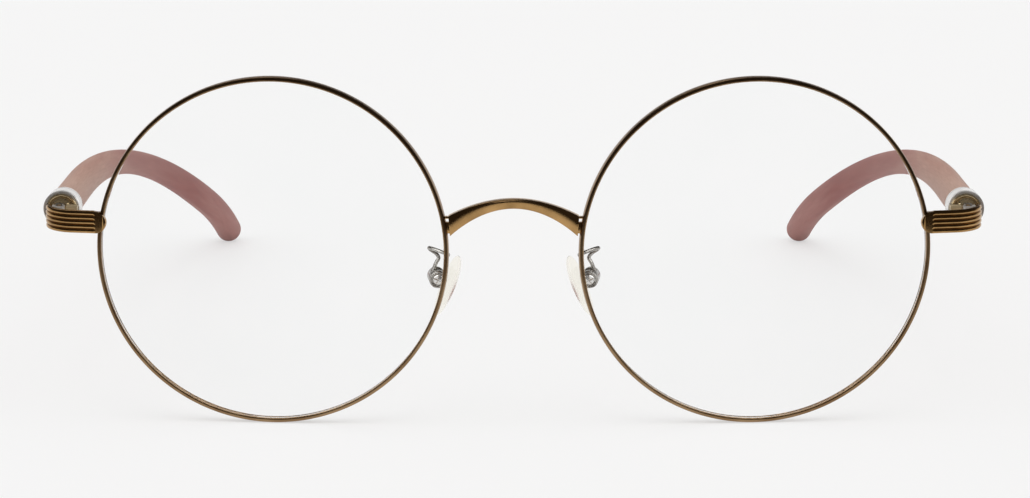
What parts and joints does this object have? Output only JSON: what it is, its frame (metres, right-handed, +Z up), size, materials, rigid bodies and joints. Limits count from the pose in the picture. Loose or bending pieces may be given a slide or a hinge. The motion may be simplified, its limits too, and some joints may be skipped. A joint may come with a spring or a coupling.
{
  "type": "eyeglasses frame",
  "caption": "Round metal eyeglasses with ribbed end pieces, clear lenses, rocking soft nose pads and round wooden temples that fold on screwed hinges.",
  "frame": {"origin": "on the table under the middle of the object, open and standing on its rims and temple tips", "axes": "+Z up, +X to the wearer's left, the front of the frame faces -Y and the temples run back along +Y"},
  "size_m": [0.1396, 0.1487, 0.052],
  "materials": {
    "bronze": "antique bronze plating, satin",
    "gold": "antique gold plating, polished",
    "steel": "bright turned",
    "silver": "polished plating",
    "wood": "satin oiled, reddish",
    "lens": "clear polished",
    "silicone": "clear soft silicone",
    "hard_plastic": "clear hard"
  },
  "bodies": {
    "front": {"bridge": "gold", "rim_left": "bronze", "rim_right": "bronze", "lens_left": "lens", "lens_right": "lens", "end_piece_left": "gold", "end_piece_right": "gold", "rim_lock_left": "gold", "rim_lock_right": "gold", "rim_screw_left": "steel", "rim_screw_right": "steel", "front_hinge_left": "steel", "front_hinge_right": "steel", "hinge_screw_left": "steel", "hinge_screw_right": "steel", "pad_arm_left": "steel", "pad_arm_right": "steel", "pad_box_left": "steel", "pad_box_right": "steel", "pad_screw_left": "silver", "pad_screw_right": "silver"},
    "temple_left": {"temple_hinge_left": "gold", "ferrule_left": "silver", "ferrule_insert_left": "gold", "temple_core_left": "steel", "temple_wood_left": "wood"},
    "temple_right": {"temple_hinge_right": "gold", "ferrule_right": "silver", "ferrule_insert_right": "gold", "temple_core_right": "steel", "temple_wood_right": "wood"},
    "pad_left": {"pad_plate_left": "hard_plastic", "nose_pad_left": "silicone"},
    "pad_right": {"pad_plate_right": "hard_plastic", "nose_pad_right": "silicone"}
  },
  "joints": [
    {"name": "temple_left_fold", "type": "hinge", "parent": "front", "child": "temple_left", "pos_m": [0.06712, -0.0655, 0.0302], "axis": [0, -0.0263, 0.9997], "range_deg": [0, 78]},
    {"name": "temple_right_fold", "type": "hinge", "parent": "front", "child": "temple_right", "pos_m": [-0.06712, -0.0655, 0.0302], "axis": [0, 0.0263, -0.9997], "range_deg": [0, 72]},
    {"name": "nose_pad_left_rock", "type": "hinge", "parent": "front", "child": "pad_left", "pos_m": [0.01135, -0.06677, 0.02121], "axis": [0.145, 0.9858, 0.0846], "range_deg": [-8, 8]},
    {"name": "nose_pad_right_rock", "type": "hinge", "parent": "front", "child": "pad_right", "pos_m": [-0.01135, -0.06677, 0.02121], "axis": [0.145, -0.9858, -0.0846], "range_deg": [-8, 8]}
  ]
}
